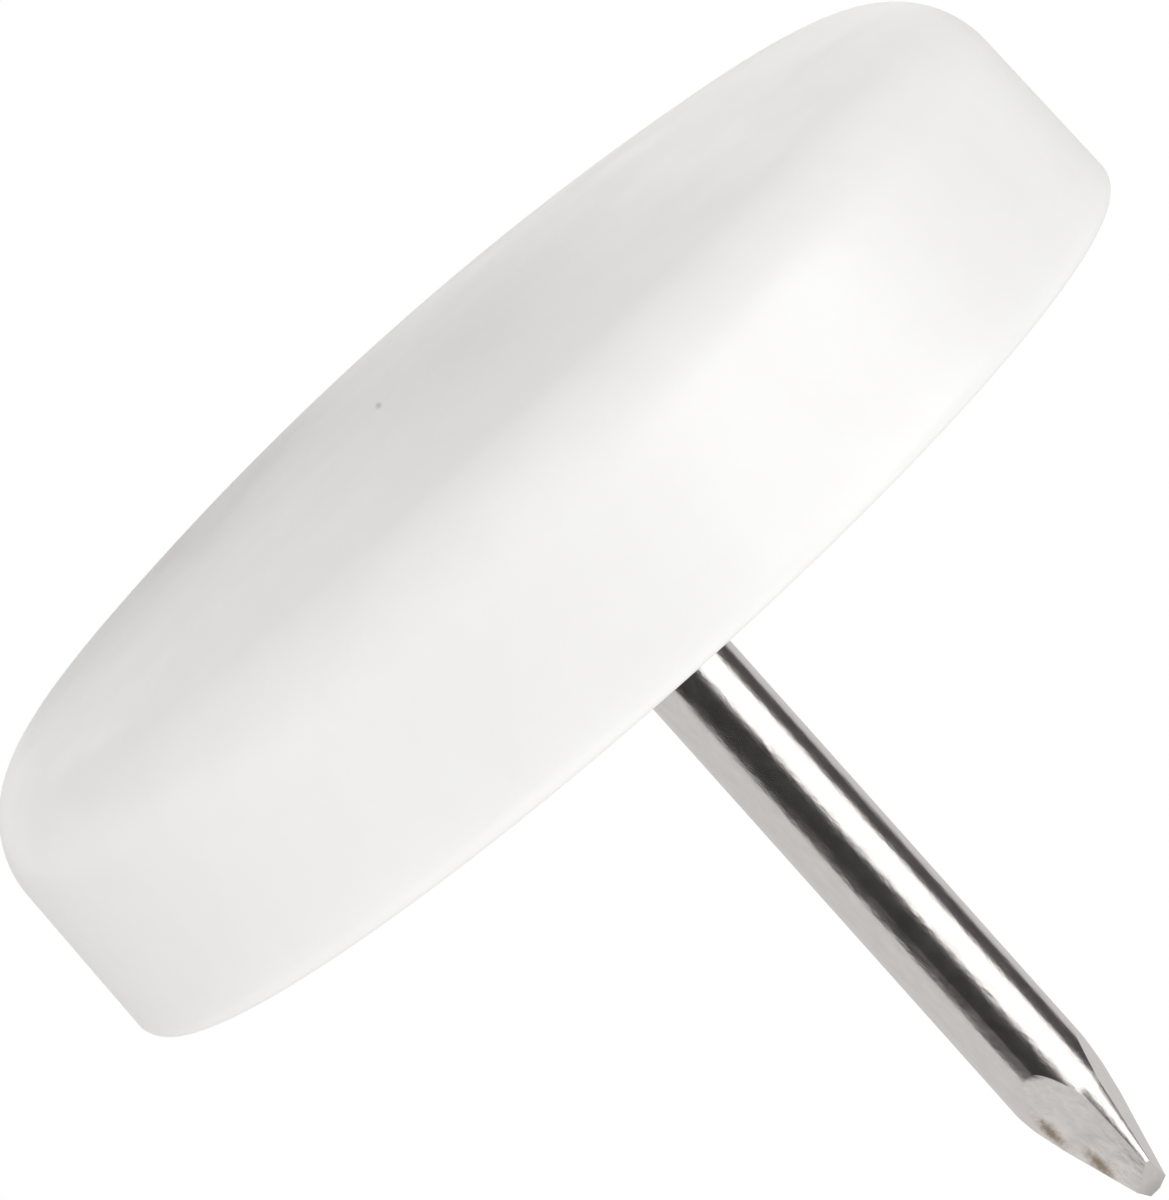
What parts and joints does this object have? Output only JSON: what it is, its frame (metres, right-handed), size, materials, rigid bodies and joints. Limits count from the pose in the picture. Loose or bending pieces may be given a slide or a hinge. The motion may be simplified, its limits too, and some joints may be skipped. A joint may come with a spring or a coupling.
{
  "type": "nail-on furniture glide",
  "caption": "Round white plastic glide with a domed sole and a steel nail in its flat back, hammered into a chair or table leg so that it slides on the floor.",
  "frame": {"origin": "middle of the domed sole, on the nail's axis", "axes": "+Z along the nail, from the sole to the point; +X and +Y lie level, with the nipped side of the point towards +X and -Y"},
  "size_m": [0.025, 0.025, 0.0221],
  "materials": {
    "glide_plastic": "satin, as moulded",
    "nail_steel": "bright drawn wire"
  },
  "bodies": {
    "root": {"glide_base": "glide_plastic", "nail": "nail_steel"}
  },
  "joints": []
}
